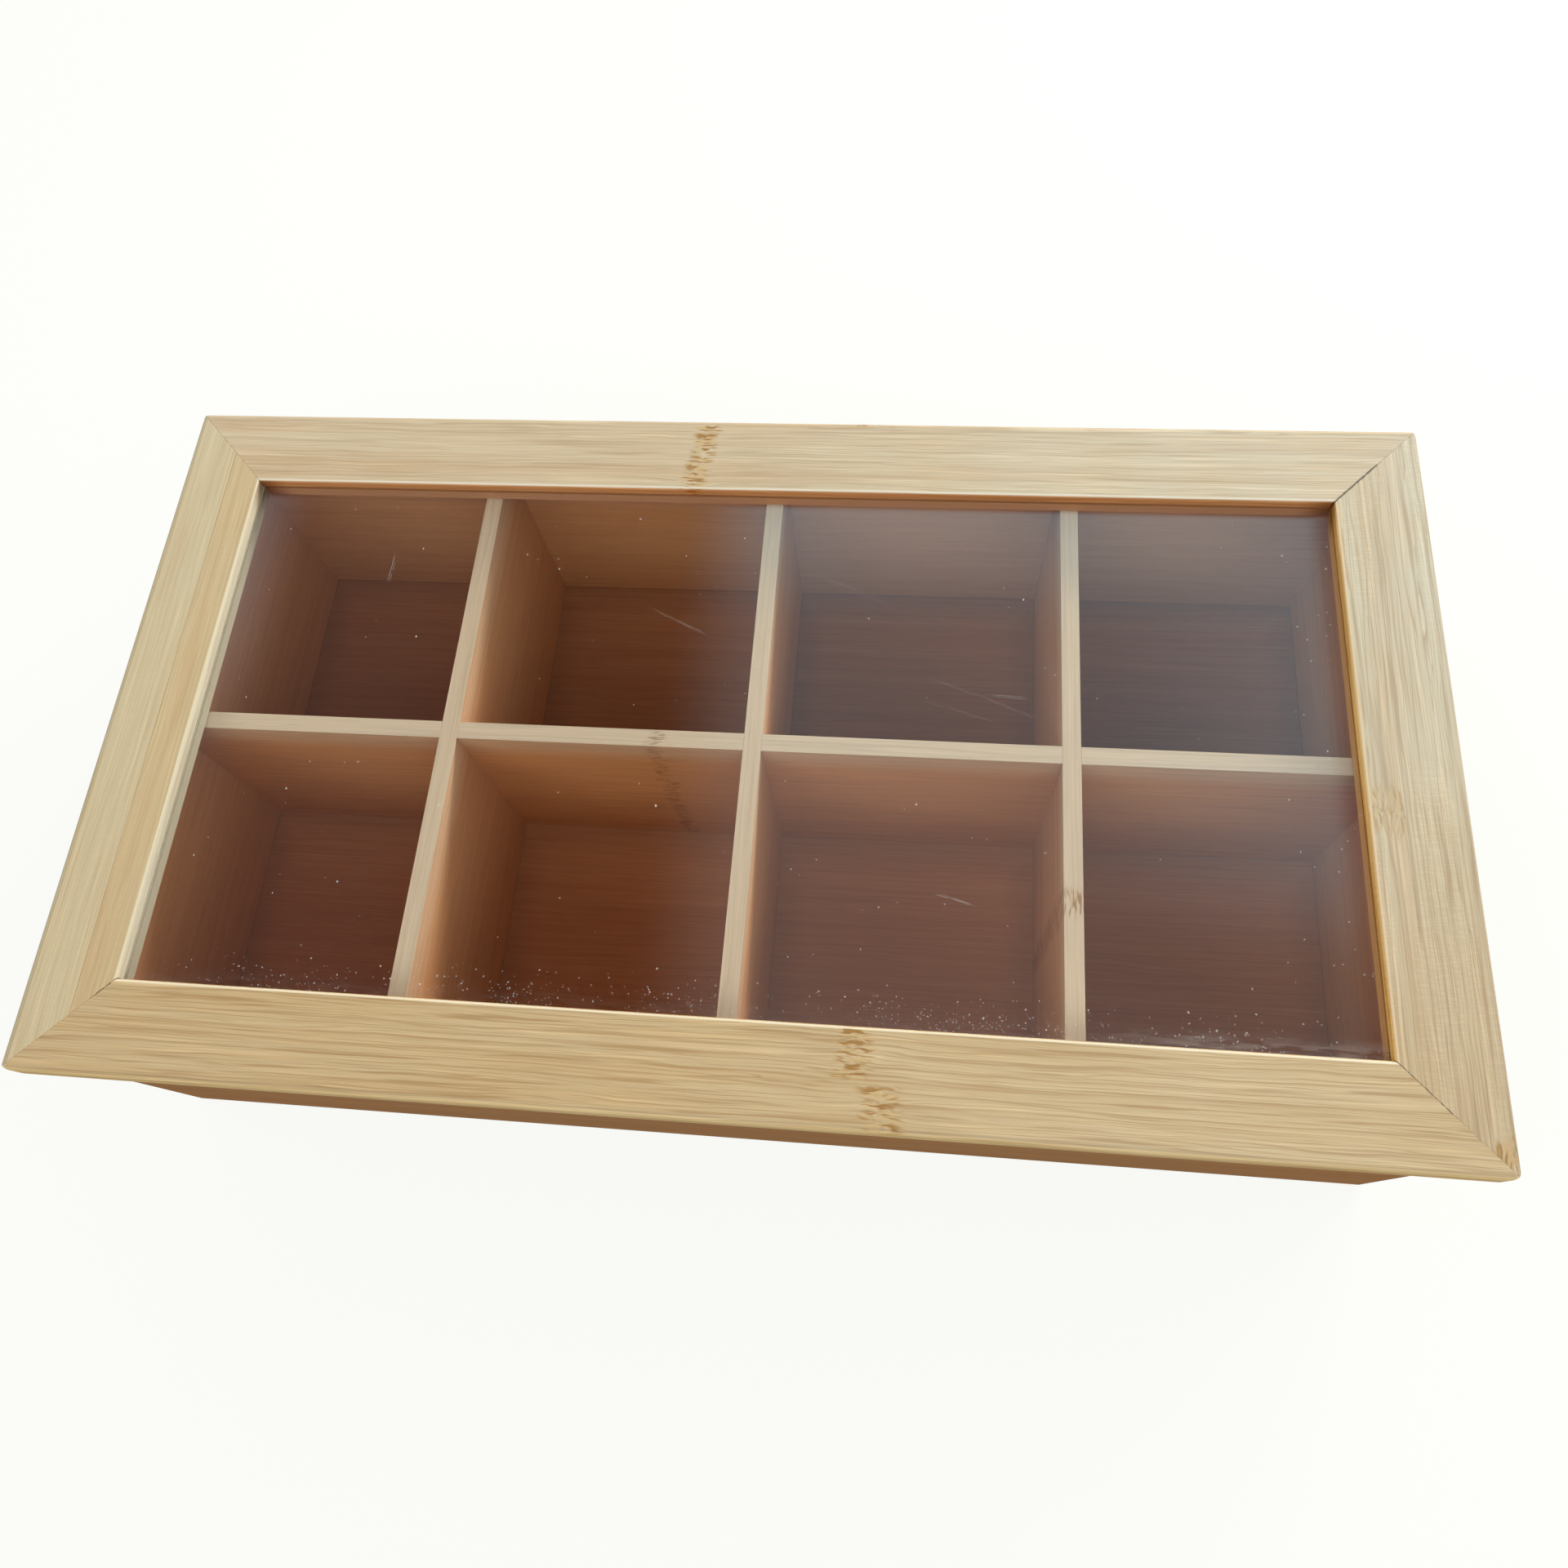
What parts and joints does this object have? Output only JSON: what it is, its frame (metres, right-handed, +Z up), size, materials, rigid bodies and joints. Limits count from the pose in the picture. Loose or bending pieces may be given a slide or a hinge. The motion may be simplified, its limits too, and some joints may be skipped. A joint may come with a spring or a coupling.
{
  "type": "tea bag organizer box",
  "caption": "Bamboo tea bag box with divided compartments under a hinged, mitred frame lid that holds a clear pane.",
  "frame": {"origin": "centre of the footprint, on the surface that the box stands on", "axes": "+X to the right along the length, the front faces -Y, +Z up"},
  "size_m": [0.37, 0.205, 0.09],
  "materials": {
    "lid_bamboo": "satin clear lacquer over pale bamboo strips",
    "box_bamboo": "satin clear lacquer over bamboo strips",
    "inner_bamboo": "satin clear lacquer over bamboo",
    "spline_bamboo": "sawn bamboo, glued in",
    "clear_acrylic": "clear polished acrylic sheet",
    "hinge_brass": "plated, lightly brushed",
    "screw_brass": "plated",
    "pin_steel": "plain drawn wire"
  },
  "bodies": {
    "box": {"front_panel": "box_bamboo", "back_panel": "box_bamboo", "left_panel": "box_bamboo", "right_panel": "box_bamboo", "bottom_panel": "inner_bamboo", "long_divider": "inner_bamboo", "left_cross_divider": "inner_bamboo", "middle_cross_divider": "inner_bamboo", "right_cross_divider": "inner_bamboo", "left_hinge_body_leaf": "hinge_brass", "left_hinge_pin": "pin_steel", "left_hinge_body_screws": "screw_brass", "right_hinge_body_leaf": "hinge_brass", "right_hinge_pin": "pin_steel", "right_hinge_body_screws": "screw_brass"},
    "lid": {"lid_front_rail": "lid_bamboo", "lid_back_rail": "lid_bamboo", "lid_left_stile": "lid_bamboo", "lid_right_stile": "lid_bamboo", "window_pane": "clear_acrylic", "front_left_spline": "spline_bamboo", "front_right_spline": "spline_bamboo", "back_left_spline": "spline_bamboo", "back_right_spline": "spline_bamboo", "left_hinge_lid_leaf": "hinge_brass", "left_hinge_lid_screws": "screw_brass", "right_hinge_lid_leaf": "hinge_brass", "right_hinge_lid_screws": "screw_brass"}
  },
  "joints": [
    {"name": "lid_hinge", "type": "hinge", "parent": "box", "child": "lid", "pos_m": [0, 0.1006, 0.0809], "axis": [-1, 0, 0], "range_deg": [0, 105]}
  ]
}
